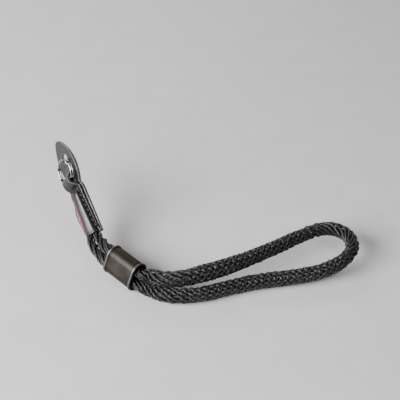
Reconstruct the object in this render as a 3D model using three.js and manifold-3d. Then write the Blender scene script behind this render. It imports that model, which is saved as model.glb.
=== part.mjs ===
// Camera wrist strap: a split ring, a stitched leather end, a braided rope loop and its metal slider.
// Millimetres, +Z up. The strap hangs from a camera's lug by its ring, and the rope lies on the table.
// The origin is the point of the ring's inner edge that hangs on the lug.

import * as THREE from 'three';
import { mergeVertices } from 'three/addons/utils/BufferGeometryUtils.js';
import Module from 'manifold-3d';

const wasm = await Module();
wasm.setup();

const GAP = 0.25;         // between pieces that touch
const MERGE_DISTANCE = 1e-4;
const TABLE_Z = -42.2;    // height of the surface that the rope and the slider lie on

// ---------------------------------------------------------------- the strap's own directions

// The leather runs straight from the lug towards the table. "run" is the distance along it from the lug,
// "across" goes over its width, and "out" leaves its front face.
const STRAP_DIRECTION = new THREE.Vector3(0.1, -0.842, -0.53).normalize();
const UP = new THREE.Vector3(0, 0, 1);
const SIDEWAYS = new THREE.Vector3().crossVectors(STRAP_DIRECTION, UP).normalize();
const UPWARD = new THREE.Vector3().crossVectors(SIDEWAYS, STRAP_DIRECTION).normalize();

// The leather twists: degrees that its front face is turned up from facing sideways.
const FACE_TURNS = [
  { run: 9, turn: 18.5 },
  { run: 17, turn: 22 },
  { run: 24, turn: 34 },
  { run: 36, turn: 42 },
  { run: 52, turn: 46.5 },
];

/** Reads one column of a table at a place between its rows, easing from row to row. */
function readTable(table, key, place, column) {
  if (place <= table[0][key]) return table[0][column];
  for (let i = 1; i < table.length; i++) {
    const [low, high] = [table[i - 1], table[i]];
    if (place > high[key]) continue;
    const t = (place - low[key]) / (high[key] - low[key]);
    return THREE.MathUtils.lerp(low[column], high[column], t * t * (3 - 2 * t));
  }
  return table[table.length - 1][column];
}

/** The across and out directions of the leather at a distance along it. */
function strapFacing(run) {
  const turn = THREE.MathUtils.degToRad(readTable(FACE_TURNS, 'run', run, 'turn'));
  const out = SIDEWAYS.clone().multiplyScalar(Math.cos(turn)).addScaledVector(UPWARD, Math.sin(turn));
  const across = new THREE.Vector3().crossVectors(out, STRAP_DIRECTION);
  return { across, out };
}

/** A point of the strap from its own run, across and out distances. */
function onStrap(run, across, out) {
  const facing = strapFacing(run);
  return STRAP_DIRECTION.clone().multiplyScalar(run)
    .addScaledVector(facing.across, across)
    .addScaledVector(facing.out, out);
}

// ---------------------------------------------------------------- solids from sections

/** A BufferGeometry from points and triangles of their indices. */
function meshGeometry(points, triangles) {
  const geometry = new THREE.BufferGeometry();
  geometry.setAttribute('position', new THREE.Float32BufferAttribute(points.flatMap((p) => p.toArray()), 3));
  geometry.setIndex(triangles.flat());
  return geometry;
}

/**
 * Joins equal rings of points into a skin. As a loop it closes on itself, and otherwise each end gets a cap,
 * of strips that run from side to side because a ring's first and last points are neighbours.
 */
function loft(rings, loop = false) {
  const sides = rings[0].length;
  const triangles = [];
  const spans = loop ? rings.length : rings.length - 1;
  for (let i = 0; i < spans; i++) {
    const a = i * sides;
    const b = ((i + 1) % rings.length) * sides;
    for (let j = 0; j < sides; j++) {
      const k = (j + 1) % sides;
      triangles.push([a + j, a + k, b + k], [a + j, b + k, b + j]);
    }
  }
  if (!loop) {
    const last = (rings.length - 1) * sides;
    for (let i = 0; i < sides / 2 - 1; i++) {
      const [a, b, c, d] = [i, i + 1, sides - 2 - i, sides - 1 - i];
      triangles.push([a, c, b], [a, d, c]);
      triangles.push([last + a, last + b, last + c], [last + a, last + c, last + d]);
    }
  }
  return facingOut(meshGeometry(rings.flat(), triangles));
}

/** Turns a closed geometry's triangles over if its volume comes out negative. */
function facingOut(geometry) {
  const index = geometry.getIndex().array;
  const position = geometry.getAttribute('position');
  const [a, b, c] = [new THREE.Vector3(), new THREE.Vector3(), new THREE.Vector3()];
  let volume = 0;
  for (let i = 0; i < index.length; i += 3) {
    a.fromBufferAttribute(position, index[i]);
    b.fromBufferAttribute(position, index[i + 1]);
    c.fromBufferAttribute(position, index[i + 2]);
    volume += a.dot(b.cross(c));
  }
  if (volume > 0) return geometry;
  for (let i = 0; i < index.length; i += 3) {
    [index[i + 1], index[i + 2]] = [index[i + 2], index[i + 1]];
  }
  return geometry;
}

/** A polygon with the given number of sides round an ellipse, as THREE.Vector2 points. */
function ellipse(halfWidth, halfHeight, sides) {
  return Array.from({ length: sides }, (_, i) => {
    const angle = (2 * Math.PI * i) / sides;
    return new THREE.Vector2(halfWidth * Math.cos(angle), halfHeight * Math.sin(angle));
  });
}

/** The manifold-3d solid of a closed geometry. */
function toSolid(geometry) {
  const merged = mergeVertices(geometry, MERGE_DISTANCE);
  return new wasm.Manifold(new wasm.Mesh({
    numProp: 3,
    vertProperties: new Float32Array(merged.getAttribute('position').array),
    triVerts: new Uint32Array(merged.getIndex().array),
  }));
}

/** The BufferGeometry of a manifold-3d solid. */
function fromSolid(solid) {
  const mesh = solid.getMesh();
  const geometry = new THREE.BufferGeometry();
  geometry.setAttribute('position', new THREE.BufferAttribute(new Float32Array(mesh.vertProperties), 3));
  geometry.setIndex(Array.from(mesh.triVerts));
  return geometry;
}

// ---------------------------------------------------------------- split ring

const RING = {
  innerRadius: 7.0,
  wireRadius: 0.58,
  pitch: 1.26,          // between the two turns' centres
  wireStart: 125,       // degrees round the ring, under the leather
  stepStart: 310,       // degrees of wire before it climbs from the first turn to the second
  stepEnd: 350,
  wireEnd: 668,
  wireSides: 8,
  stepDegrees: 12,
};
const RING_HALF_HEIGHT = RING.pitch / 2 + RING.wireRadius;   // of both turns together

/** The wire's two turns, wound in the plane of the leather's face, with their top at the origin. */
function splitRing() {
  const centre = onStrap(RING.innerRadius, 0, 0);
  const { across, out } = strapFacing(RING.innerRadius);
  const radius = RING.innerRadius + RING.wireRadius;
  const section = ellipse(RING.wireRadius, RING.wireRadius, RING.wireSides);
  const steps = Math.round(RING.wireEnd / RING.stepDegrees);
  const rings = [];
  for (let i = 0; i <= steps; i++) {
    const degrees = (RING.wireEnd * i) / steps;
    const angle = THREE.MathUtils.degToRad(degrees + RING.wireStart);
    const climb = THREE.MathUtils.smoothstep(degrees, RING.stepStart, RING.stepEnd) - 0.5;
    const radial = across.clone().multiplyScalar(Math.cos(angle))
      .addScaledVector(STRAP_DIRECTION, Math.sin(angle));
    rings.push(section.map((p) => centre.clone()
      .addScaledVector(radial, radius + p.x)
      .addScaledVector(out, climb * RING.pitch + p.y)));
  }
  return loft(rings);
}

// ---------------------------------------------------------------- front leather

const FRONT_WALL = 1.3;
const NECK_WALL = 1.0;                                // thinned where it folds
const TAIL_FACE_OUT = -(RING_HALF_HEIGHT + GAP);      // the tail lies just behind the ring's wire
const BACK_FACE_OUT = TAIL_FACE_OUT - NECK_WALL - GAP; // the back leather's front face
const SLEEVE_OUT = BACK_FACE_OUT + GAP;               // the inner face of the stitched flanges
const NECK_OUT = TAIL_FACE_OUT + GAP;                 // the neck lies on its own folded tail
const BRIDGE_OUT = 2.5;                               // clear of the ring's wire as the ring swings
const FOLD_RUN = 5.2;                                 // the fold's centre
const TAIL_RUNS = [11, 14.5, 17.6];                   // the tail's sections, the last one its end
const MOUTH_RUN = 51.4;                               // the sleeve's open end

// The strip from the sleeve's mouth, over the ring's wire, to the fold: its inner face's place, its
// edges, its wall, and the hollow of the dome over the rope's ends, with its height and its feet.
const FRONT_STRIP = [
  { run: MOUTH_RUN, out: SLEEVE_OUT, left: -5.9, right: 5.6, wall: FRONT_WALL, dome: 3.8, from: -4.2, to: 4 },
  { run: 49, out: SLEEVE_OUT, left: -5.7, right: 5.2, wall: FRONT_WALL, dome: 3.5, from: -3.8, to: 2.8 },
  { run: 45, out: SLEEVE_OUT, left: -5.6, right: 4.8, wall: FRONT_WALL, dome: 3.3, from: -3.4, to: 1.9 },
  { run: 39, out: SLEEVE_OUT, left: -5.5, right: 4.5, wall: FRONT_WALL, dome: 3.2, from: -3.2, to: 1.4 },
  { run: 33, out: SLEEVE_OUT, left: -5.5, right: 4.4, wall: FRONT_WALL, dome: 3.2, from: -3.1, to: 1.3 },
  { run: 27.5, out: SLEEVE_OUT, left: -5.5, right: 4.4, wall: FRONT_WALL, dome: 3.1, from: -3.1, to: 1.3 },
  { run: 24.2, out: SLEEVE_OUT, left: -5.6, right: 4.6, wall: FRONT_WALL, dome: 2.9, from: -3.1, to: 1.3 },
  { run: 22.4, out: SLEEVE_OUT, left: -5.7, right: 4.9, wall: FRONT_WALL, dome: 2.4, from: -3.1, to: 1.3 },
  { run: 21.2, out: SLEEVE_OUT, left: -5.7, right: 5.2, wall: FRONT_WALL, dome: 1.5, from: -3.0, to: 1.4 },
  { run: 20.3, out: SLEEVE_OUT, left: -5.8, right: 5.6, wall: FRONT_WALL, dome: 0.6, from: -2.9, to: 1.5 },
  { run: 19.4, out: SLEEVE_OUT + 0.2, left: -5.7, right: 5.7, wall: FRONT_WALL, dome: 0, from: -2.9, to: 1.6 },
  { run: 18.4, out: SLEEVE_OUT + 1.3, left: -5.4, right: 5.4, wall: FRONT_WALL, dome: 0, from: -2.8, to: 1.8 },
  { run: 17.5, out: 0.7, left: -4.8, right: 5.2, wall: FRONT_WALL, dome: 0, from: -2.4, to: 2.0 },
  { run: 16.6, out: 1.9, left: -4.2, right: 4.6, wall: FRONT_WALL, dome: 0, from: -2.1, to: 2.1 },
  { run: 15.4, out: BRIDGE_OUT, left: -3.5, right: 4.1, wall: FRONT_WALL, dome: 0, from: -1.8, to: 2.1 },
  { run: 13.9, out: BRIDGE_OUT, left: -3.3, right: 4.1, wall: FRONT_WALL, dome: 0, from: -1.5, to: 2.1 },
  { run: 12.4, out: 1.7, left: -2.8, right: 4.0, wall: 1.2, dome: 0, from: -1.1, to: 2.1 },
  { run: 11, out: 0.2, left: -2.2, right: 3.8, wall: 1.1, dome: 0, from: -0.8, to: 2.1 },
  { run: 9.6, out: NECK_OUT + 0.3, left: -1.7, right: 3.7, wall: NECK_WALL, dome: 0, from: -0.4, to: 2.1 },
  { run: 8, out: NECK_OUT, left: -1.3, right: 3.5, wall: NECK_WALL, dome: 0, from: -0.2, to: 2.1 },
];
const NECK = { left: -1.1, right: 3.5, wall: NECK_WALL, dome: 0, from: 0, to: 2.1 };
const FOLD_STEPS = 8;
const DOME_STEPS = 12;
const DOME_SIDE_WALL = 0.7;   // share of the wall that the dome's foot is thicker by
const DOME_CREST = 0.76;      // the crest's place on the way from the left foot to the right one

/** The strip's section as points across it and above its inner face: the outer face, then the inner. */
function stripSection({ left, right, wall, dome, from, to }) {
  const face = (height) => {
    const wider = DOME_SIDE_WALL * height * Math.min(dome, 1);
    const crest = THREE.MathUtils.lerp(from - wider, to + wider, DOME_CREST);
    const arch = Array.from({ length: DOME_STEPS + 1 }, (_, i) => {
      const angle = Math.PI * (1 - i / DOME_STEPS);
      const reach = Math.cos(angle) < 0 ? crest - from + wider : to + wider - crest;
      return new THREE.Vector2(crest + reach * Math.cos(angle), height + dome * Math.sin(angle));
    });
    return [new THREE.Vector2(left, height), ...arch, new THREE.Vector2(right, height)];
  };
  return [...face(wall), ...face(0).reverse()];
}

/** The strip from the sleeve's mouth over the ring's wire, folded back on itself under the wire. */
function frontLeather() {
  const foldRadius = GAP / 2;
  const fold = Array.from({ length: FOLD_STEPS + 1 }, (_, i) => {
    const angle = Math.PI * (0.5 + i / FOLD_STEPS);
    return {
      ...NECK,
      run: FOLD_RUN + foldRadius * Math.cos(angle),
      out: TAIL_FACE_OUT + foldRadius + foldRadius * Math.sin(angle),
    };
  });
  const tail = TAIL_RUNS.map((run) => ({ ...NECK, run, out: TAIL_FACE_OUT }));
  const stations = [...FRONT_STRIP, ...fold, ...tail];
  const rings = stations.map((station, i) => {
    const before = stations[Math.max(i - 1, 0)];
    const after = stations[Math.min(i + 1, stations.length - 1)];
    const forward = new THREE.Vector2(after.run - before.run, after.out - before.out).normalize();
    const above = new THREE.Vector2(forward.y, -forward.x);
    return stripSection(station).map((p) => (
      onStrap(station.run + p.y * above.x, p.x, station.out + p.y * above.y)));
  });
  return loft(rings);
}

// ---------------------------------------------------------------- back leather

const BACK_WALL = 1.9;
const BACK_BEVEL = 0.35;       // the cut edges are rounded off this much
const LUG_HOLE_RADIUS = 3.4;   // the camera's lug comes through the pad here
const LUG_HOLE_RUN = -1.5;
const LUG_HOLE_SIDES = 24;
const DRILL_LENGTH = 12;       // well past both faces of the pad

// The outline: the teardrop pad behind the ring, its waist, and the back of the sleeve.
const BACK_OUTLINE = [
  { run: -15, left: -2.0, right: -0.8 },
  { run: -14.6, left: -2.9, right: 0.4 },
  { run: -13.4, left: -4.1, right: 1.9 },
  { run: -11, left: -5.6, right: 4.1 },
  { run: -7.5, left: -7.3, right: 6.4 },
  { run: -3.5, left: -8.5, right: 8.2 },
  { run: 1, left: -9.1, right: 9.3 },
  { run: 5, left: -8.9, right: 9.6 },
  { run: 9, left: -8.2, right: 9.1 },
  { run: 12.5, left: -7.2, right: 7.9 },
  { run: 15, left: -6.3, right: 6.6 },
  { run: 16.8, left: -5.6, right: 5.5 },
  { run: 17.8, left: -5.7, right: 5.6 },
  { run: 18.6, left: -6, right: 6.1 },
  { run: 20, left: -6.3, right: 6.4 },
  { run: 25, left: -6.3, right: 6.3 },
  { run: 31, left: -6.2, right: 6.2 },
  { run: 38, left: -6.1, right: 6.1 },
  { run: 45, left: -6, right: 6 },
  { run: MOUTH_RUN, left: -6, right: 6 },
];

/** A flat bar's section, with its four long edges bevelled. */
function barSection(left, right, wall, bevel) {
  const corners = [
    [right - bevel, 0], [right, bevel], [right, wall - bevel], [right - bevel, wall],
    [left + bevel, wall], [left, wall - bevel], [left, bevel], [left + bevel, 0],
  ];
  return corners.map(([x, y]) => new THREE.Vector2(x, y));
}

/** The pad, waist and sleeve back in one flat piece, with the lug's hole cut through the pad. */
function backLeather() {
  const rings = BACK_OUTLINE.map(({ run, left, right }) => (
    barSection(left, right, BACK_WALL, BACK_BEVEL).map((p) => onStrap(run, p.x, BACK_FACE_OUT - p.y))));
  const sheet = loft(rings);
  const { across, out } = strapFacing(LUG_HOLE_RUN);
  const drill = new THREE.CylinderGeometry(LUG_HOLE_RADIUS, LUG_HOLE_RADIUS, DRILL_LENGTH, LUG_HOLE_SIDES);
  drill.applyMatrix4(new THREE.Matrix4()
    .makeBasis(across, out, new THREE.Vector3().crossVectors(across, out))
    .setPosition(onStrap(LUG_HOLE_RUN, 0, BACK_FACE_OUT)));
  drill.deleteAttribute('normal');
  drill.deleteAttribute('uv');
  return fromSolid(toSolid(sheet).subtract(toSolid(drill)));
}

// ---------------------------------------------------------------- slider

const SLIDER = {
  length: 22.5,
  boreHalfWidth: 7.7,      // inside, across both legs of the rope
  boreHalfHeight: 4.3,
  wall: 1.1,
  rim: 0.4,                // how far the rims stand out of the middle
  groove: 0.2,             // how deep the groove inside each rim is
  sideSteps: 8,
};
const SLIDER_DIRECTION = new THREE.Vector3(0.43, -0.89, -0.11).normalize();
const SLIDER_TURN = 24;    // degrees that its broad face is turned up from facing sideways
const SLIDER_HALF_HEIGHT = SLIDER.boreHalfHeight + SLIDER.wall + SLIDER.rim;
const SLIDER_STRAIGHT = SLIDER.boreHalfWidth - SLIDER.boreHalfHeight;

const sliderTurn = THREE.MathUtils.degToRad(SLIDER_TURN);
const SLIDER_OUT = new THREE.Vector3().crossVectors(SLIDER_DIRECTION, UP).normalize()
  .multiplyScalar(Math.cos(sliderTurn)).addScaledVector(UP, Math.sin(sliderTurn));
const SLIDER_ACROSS = new THREE.Vector3().crossVectors(SLIDER_OUT, SLIDER_DIRECTION);
// It rests on the table on the rim where the rope leaves for the loop.
const SLIDER_CENTRE = new THREE.Vector3(15.5, -75.4, TABLE_Z + SLIDER_HALF_HEIGHT
  + SLIDER_STRAIGHT * SLIDER_ACROSS.z - SLIDER_DIRECTION.z * (SLIDER.length / 2));

// The outer face along the slider, from its middle: rims, grooves and the plain barrel.
const SLIDER_PROFILE = [
  { from: SLIDER.length / 2, over: 0.1 },
  { from: SLIDER.length / 2 - 0.3, over: SLIDER.rim },
  { from: SLIDER.length / 2 - 1.6, over: SLIDER.rim },
  { from: SLIDER.length / 2 - 1.9, over: -SLIDER.groove },
  { from: SLIDER.length / 2 - 2.5, over: -SLIDER.groove },
  { from: SLIDER.length / 2 - 2.8, over: 0 },
];

/** A ring of points round the slider's rounded oval, at a place along it. */
function sliderOval(along, radius) {
  const points = [];
  for (const side of [1, -1]) {
    for (let i = 0; i <= SLIDER.sideSteps; i++) {
      const angle = Math.PI * (i / SLIDER.sideSteps - 0.5);
      points.push(SLIDER_CENTRE.clone()
        .addScaledVector(SLIDER_DIRECTION, along)
        .addScaledVector(SLIDER_ACROSS, side * (SLIDER_STRAIGHT + radius * Math.cos(angle)))
        .addScaledVector(SLIDER_OUT, side * radius * Math.sin(angle)));
    }
  }
  return points;
}

/** The slider's tube: its outer faces from end to end, and back through the bore. */
function slider() {
  const bore = SLIDER.boreHalfHeight;
  const half = SLIDER.length / 2;
  const outer = [
    ...SLIDER_PROFILE.map((row) => sliderOval(-row.from, bore + SLIDER.wall + row.over)),
    ...SLIDER_PROFILE.map((row) => sliderOval(row.from, bore + SLIDER.wall + row.over)).reverse(),
  ];
  const inner = [half, -half].map((along) => sliderOval(along, bore));
  return loft([...outer, ...inner], true);
}

// ---------------------------------------------------------------- rope loop

// Both legs of the rope as chosen by hand: from one end in the sleeve, through the slider, round the
// loop's bend and back. "tall" is the section's size over the strap's width and "deep" the other way.
const ROPE_SIDES = 12;
const ROPE_STEP = 4.5;           // about this far from section to section
const ROPE_END_RUN = 27;         // how far down the sleeve its ends lie
const LEG_IN_SLEEVE = 1.05;      // from the middle of the dome's hollow to each leg's own middle
const LEG_IN_SLIDER = 3.75;
const SLEEVE_LEG = { out: SLEEVE_OUT + 1.15, shift: -0.85, tall: 1.8, deep: 1.6 };   // flattened there

/** One row of the rope's route on the strap's straight stretch. */
function legOnStrap(run, side, apart, { out, shift, tall, deep }) {
  const point = onStrap(run, shift + side * apart, out);
  return { x: point.x, y: point.y, z: point.z, tall, deep, across: strapFacing(run).across };
}

/** One row of the rope's route inside the slider or just outside it. */
function legInSlider(along, side, apart, tall, deep) {
  const point = SLIDER_CENTRE.clone()
    .addScaledVector(SLIDER_DIRECTION, along)
    .addScaledVector(SLIDER_ACROSS, side * apart);
  return { x: point.x, y: point.y, z: point.z, tall, deep, across: SLIDER_ACROSS };
}

/** The hidden and parallel stretch of one leg, from its end in the sleeve to just past the slider. */
function legRows(side) {
  const half = SLIDER.length / 2;
  return [
    legOnStrap(ROPE_END_RUN, side, LEG_IN_SLEEVE, SLEEVE_LEG),
    legOnStrap(36, side, LEG_IN_SLEEVE, SLEEVE_LEG),
    legOnStrap(44, side, LEG_IN_SLEEVE, SLEEVE_LEG),
    legOnStrap(MOUTH_RUN - 0.5, side, LEG_IN_SLEEVE + 0.3, { ...SLEEVE_LEG, shift: -0.5, tall: 2.4 }),
    legOnStrap(MOUTH_RUN + 3.5, side, 3.1, { out: BACK_FACE_OUT + 2.3, shift: 0, tall: 5.6, deep: 5 }),
    legInSlider(-half - 5.5, side, 3.9, 7.4, 7),
    legInSlider(-half, side, LEG_IN_SLIDER, 7, 7.7),
    legInSlider(0, side, LEG_IN_SLIDER, 7, 7.7),
    legInSlider(half, side, LEG_IN_SLIDER, 7, 7.6),
    legInSlider(half + 3, side, 3.85, 7.4, 8),
  ];
}

const LOOP_ROUTE = [
  { x: 27, y: -89.5, z: -31.2, size: 9.6 },
  { x: 33.5, y: -96.3, z: -30.2, size: 10 },
  { x: 42, y: -99.9, z: -29.6, size: 10.6 },
  { x: 54, y: -101, z: -29.4, size: 11.2 },
  { x: 70, y: -100.4, z: -29.6, size: 10.8 },
  { x: 86, y: -98.4, z: -29.8, size: 9.8 },
  { x: 103, y: -95.6, z: -29.6, size: 9.3 },
  { x: 120, y: -92.3, z: -29.4, size: 9 },
  { x: 133.5, y: -91, z: -29.3, size: 9 },
  { x: 141, y: -93.8, z: -29.3, size: 8.8 },
  { x: 145.6, y: -100, z: -29.5, size: 8.6 },
  { x: 146.4, y: -107.6, z: -29.9, size: 8.6 },
  { x: 142.8, y: -114.8, z: -30.9, size: 8.8 },
  { x: 134.5, y: -119.4, z: -32.4, size: 9 },
  { x: 123, y: -120.6, z: -34.4, size: 9.4 },
  { x: 109, y: -117.8, z: -36.2, size: 9.8 },
  { x: 93, y: -113.4, z: -37.2, size: 9.8 },
  { x: 80, y: -111, z: -37.2, size: 9.6 },
  { x: 65, y: -109.8, z: -37.3, size: 9.6 },
  { x: 51, y: -108.9, z: -37.3, size: 9.6 },
  { x: 38, y: -105.3, z: -37.3, size: 9.6 },
  { x: 29.5, y: -99.4, z: -37.4, size: 9.4 },
  { x: 24.6, y: -93, z: -37.6, size: 9 },
].map(({ x, y, z, size }) => ({ x, y, z, tall: size, deep: size, across: UP }));

/** The rope's centre, directions and size at a place between two rows of its route. */
function ropeStation(rows, curve, before, share) {
  const [low, high] = [rows[before], rows[before + 1]];
  const t = (before + share) / (rows.length - 1);
  const tangent = curve.getTangent(t);
  const across = low.across.clone().lerp(high.across, share);
  across.addScaledVector(tangent, -across.dot(tangent)).normalize();
  return {
    centre: curve.getPoint(t),
    across,
    out: new THREE.Vector3().crossVectors(tangent, across),
    tall: THREE.MathUtils.lerp(low.tall, high.tall, share),
    deep: THREE.MathUtils.lerp(low.deep, high.deep, share),
  };
}

/** The rope's outer form, from its end in the sleeve round the loop and back to its other end. */
function ropeLoop() {
  const rows = [...legRows(1), ...LOOP_ROUTE, ...legRows(-1).reverse()];
  const points = rows.map((row) => new THREE.Vector3(row.x, row.y, row.z));
  const curve = new THREE.CatmullRomCurve3(points, false, 'centripetal');
  const stations = [ropeStation(rows, curve, 0, 0)];
  for (let i = 1; i < rows.length; i++) {
    const steps = Math.max(1, Math.round(points[i].distanceTo(points[i - 1]) / ROPE_STEP));
    for (let j = 1; j <= steps; j++) stations.push(ropeStation(rows, curve, i - 1, j / steps));
  }
  const unit = ellipse(0.5, 0.5, ROPE_SIDES);
  return loft(stations.map(({ centre, across, out, tall, deep }) => unit.map((p) => (
    centre.clone().addScaledVector(across, p.x * tall).addScaledVector(out, p.y * deep)))));
}

// ---------------------------------------------------------------- the assembly

const BLACK_LEATHER = { color: 0x2b2b2d, roughness: 0.5, metalness: 0 };
const FINISHES = {
  split_ring: { color: 0xc9c9cc, roughness: 0.18, metalness: 1 },
  front_leather: BLACK_LEATHER,
  back_leather: BLACK_LEATHER,
  rope_loop: { color: 0x2e2e31, roughness: 0.8, metalness: 0 },
  slider: { color: 0x9a9488, roughness: 0.3, metalness: 1 },
};

function piece(name, geometry) {
  geometry.computeVertexNormals();
  const mesh = new THREE.Mesh(geometry, new THREE.MeshStandardMaterial(FINISHES[name]));
  mesh.name = name;
  return mesh;
}

const cameraWristStrap = new THREE.Group();
cameraWristStrap.add(
  piece('split_ring', splitRing()),
  piece('front_leather', frontLeather()),
  piece('back_leather', backLeather()),
  piece('slider', slider()),
  piece('rope_loop', ropeLoop()),
);

export default cameraWristStrap;
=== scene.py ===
"""The looks of the camera wrist strap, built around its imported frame.

Every object is in the frame's own axes. Tables and sizes are in millimetres, and mesh_object turns them into
metres. The rope's route, its declared size, the floor, the lights and the camera are in metres.
"""

import math

import bpy
import numpy as np
from mathutils import Matrix


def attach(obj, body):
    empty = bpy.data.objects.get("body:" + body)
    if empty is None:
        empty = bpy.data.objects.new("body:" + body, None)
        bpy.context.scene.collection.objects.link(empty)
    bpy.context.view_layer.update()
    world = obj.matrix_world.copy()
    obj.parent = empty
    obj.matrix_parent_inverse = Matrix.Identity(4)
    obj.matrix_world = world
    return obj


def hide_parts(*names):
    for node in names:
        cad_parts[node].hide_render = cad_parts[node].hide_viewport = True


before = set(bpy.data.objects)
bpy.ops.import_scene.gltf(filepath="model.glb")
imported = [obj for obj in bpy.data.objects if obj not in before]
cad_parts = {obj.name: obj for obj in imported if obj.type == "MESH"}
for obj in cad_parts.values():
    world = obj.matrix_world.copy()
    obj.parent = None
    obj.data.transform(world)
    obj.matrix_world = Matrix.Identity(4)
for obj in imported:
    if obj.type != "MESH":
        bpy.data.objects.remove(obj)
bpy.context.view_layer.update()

MM = 0.001
UP = np.array([0.0, 0.0, 1.0])


def unit(v):
    """The same direction with a length of one; for an array, along its last axis."""
    return v / np.linalg.norm(v, axis=-1, keepdims=True)


def eased(share):
    """A share from 0 to 1 with a level start and a level end."""
    return share * share * (3 - 2 * share)


def round_turn(sides):
    """The angle of each side of a round section."""
    return 2 * np.pi * np.arange(sides) / sides


# ---------------------------------------------------------------- the strap's own directions

# "run" is the distance from the lug down the leather, "across" goes over its width, and "out" leaves its
# front face.
STRAP_DIRECTION = unit(np.array([0.1, -0.842, -0.53]))
SIDEWAYS = unit(np.cross(STRAP_DIRECTION, UP))
UPWARD = unit(np.cross(SIDEWAYS, STRAP_DIRECTION))

# The leather twists: run, and the degrees that its front face is turned up from facing sideways.
FACE_TURN_RUNS = np.array([9.0, 17, 24, 36, 52])
FACE_TURN_DEGREES = np.array([18.5, 22, 34, 42, 46.5])


def strap_facing(run):
    """The across and out directions at each run."""
    rows = FACE_TURN_RUNS
    run = np.clip(np.asarray(run, float), rows[0], rows[-1])
    i = np.clip(np.searchsorted(rows, run, side="right") - 1, 0, len(rows) - 2)
    share = eased((run - rows[i]) / (rows[i + 1] - rows[i]))
    turn = np.radians(FACE_TURN_DEGREES[i] * (1 - share) + FACE_TURN_DEGREES[i + 1] * share)[..., None]
    out = SIDEWAYS * np.cos(turn) + UPWARD * np.sin(turn)
    return np.cross(out, STRAP_DIRECTION), out


def on_strap(run, across, out):
    """The points at these distances along, across and out from the strap."""
    run, across, out = np.broadcast_arrays(*(np.asarray(v, float) for v in (run, across, out)))
    side, face = strap_facing(run)
    return STRAP_DIRECTION * run[..., None] + side * across[..., None] + face * out[..., None]


# ---------------------------------------------------------------- meshes


class Skin:
    """Points in millimetres, faces, a UV for each face corner, and how much each point is a cut edge."""

    def __init__(self, points, faces, uv, edge=None):
        self.points = points
        self.faces = faces
        self.uv = uv
        self.edge = np.zeros(len(points)) if edge is None else edge


def skin(sections, closed=False, edge=None):
    """A skin over sections, each a ring of as many points. Its ends are capped unless it is closed."""
    count, sides, _ = sections.shape
    points = sections.reshape(-1, 3)
    spans = count if closed else count - 1
    i, j = (v.ravel() for v in np.meshgrid(np.arange(spans), np.arange(sides), indexing="ij"))
    after, beside = (i + 1) % count, (j + 1) % sides
    quads = np.stack([i * sides + j, i * sides + beside, after * sides + beside, after * sides + j], axis=1)
    middles = sections.mean(axis=1)
    along = np.concatenate([[0], np.cumsum(np.linalg.norm(np.diff(middles, axis=0), axis=1)), [0]])
    around = np.linalg.norm(np.diff(sections[0], axis=0), axis=1).sum()
    low, high = j / sides * around, (j + 1) / sides * around
    uv = np.stack([along[i], low, along[i], high, along[i + 1], high, along[i + 1], low], axis=1)
    a, b, c, d = (points[quads[:, k]] for k in range(4))
    volume = (np.cross(b, c) * a).sum() + (np.cross(c, d) * a).sum()
    caps = [] if closed else [list(range(sides))[::-1], [len(points) - sides + k for k in range(sides)]]
    if volume < 0:
        quads = quads[:, ::-1]
        uv = uv.reshape(-1, 4, 2)[:, ::-1].reshape(-1, 8)
        caps = [cap[::-1] for cap in caps]
    uv = np.concatenate([uv.ravel(), np.zeros(2 * sum(len(cap) for cap in caps))])
    return Skin(points, quads.tolist() + caps, uv, edge)


def add_object(name, data):
    """A new object in the scene."""
    obj = bpy.data.objects.new(name, data)
    bpy.context.scene.collection.objects.link(obj)
    return obj


def mesh_object(name, skins, material):
    """One smooth object from skins, in metres."""
    points, faces, start = [], [], 0
    for each in skins:
        points.append(each.points)
        faces += [[start + k for k in face] for face in each.faces]
        start += len(each.points)
    mesh = bpy.data.meshes.new(name)
    mesh.from_pydata((np.concatenate(points) * MM).tolist(), [], faces)
    uv = mesh.uv_layers.new(name="length_and_girth")
    uv.data.foreach_set("uv", np.concatenate([each.uv for each in skins]))
    edge = mesh.attributes.new("cut_edge", "FLOAT", "POINT")
    edge.data.foreach_set("value", np.concatenate([each.edge for each in skins]))
    mesh.shade_smooth()
    mesh.materials.append(material)
    return add_object(name, mesh)


LEAST_SPAN = 1e-6         # keeps two rows at one place from a division by zero


def spline(rows, steps):
    """A centripetal Catmull-Rom curve through rows of numbers, with steps points to a span."""
    rows = np.asarray(rows, float)
    rows = np.concatenate([[2 * rows[0] - rows[1]], rows, [2 * rows[-1] - rows[-2]]])
    t = np.linspace(0, 1, steps, endpoint=False)[:, None]
    found = []
    for p0, p1, p2, p3 in zip(rows[:-3], rows[1:-2], rows[2:-1], rows[3:]):
        spans = ((p0, p1), (p1, p2), (p2, p3))
        d0, d1, d2 = (max(np.linalg.norm(b - a) ** 0.5, LEAST_SPAN) for a, b in spans)
        m1 = d1 * ((p1 - p0) / d0 - (p2 - p0) / (d0 + d1) + (p2 - p1) / d1)
        m2 = d1 * ((p2 - p1) / d1 - (p3 - p1) / (d1 + d2) + (p3 - p2) / d2)
        found.append(
            p1 + m1 * t + (3 * (p2 - p1) - 2 * m1 - m2) * t**2 + (2 * (p1 - p2) + m1 + m2) * t**3
        )
    return np.concatenate([*found, rows[-2:-1]])


def length_along(points):
    """How far along a line of points each one lies."""
    return np.concatenate([[0], np.cumsum(np.linalg.norm(np.diff(points, axis=0), axis=1))])


def evenly(columns, points, step):
    """Columns given at the points of a line, read again at places about step apart along it."""
    along = length_along(points)
    at = np.linspace(0, along[-1], int(math.ceil(along[-1] / step)) + 1)
    return np.stack([np.interp(at, along, column) for column in columns.T], axis=1), at


# ---------------------------------------------------------------- materials


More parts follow.
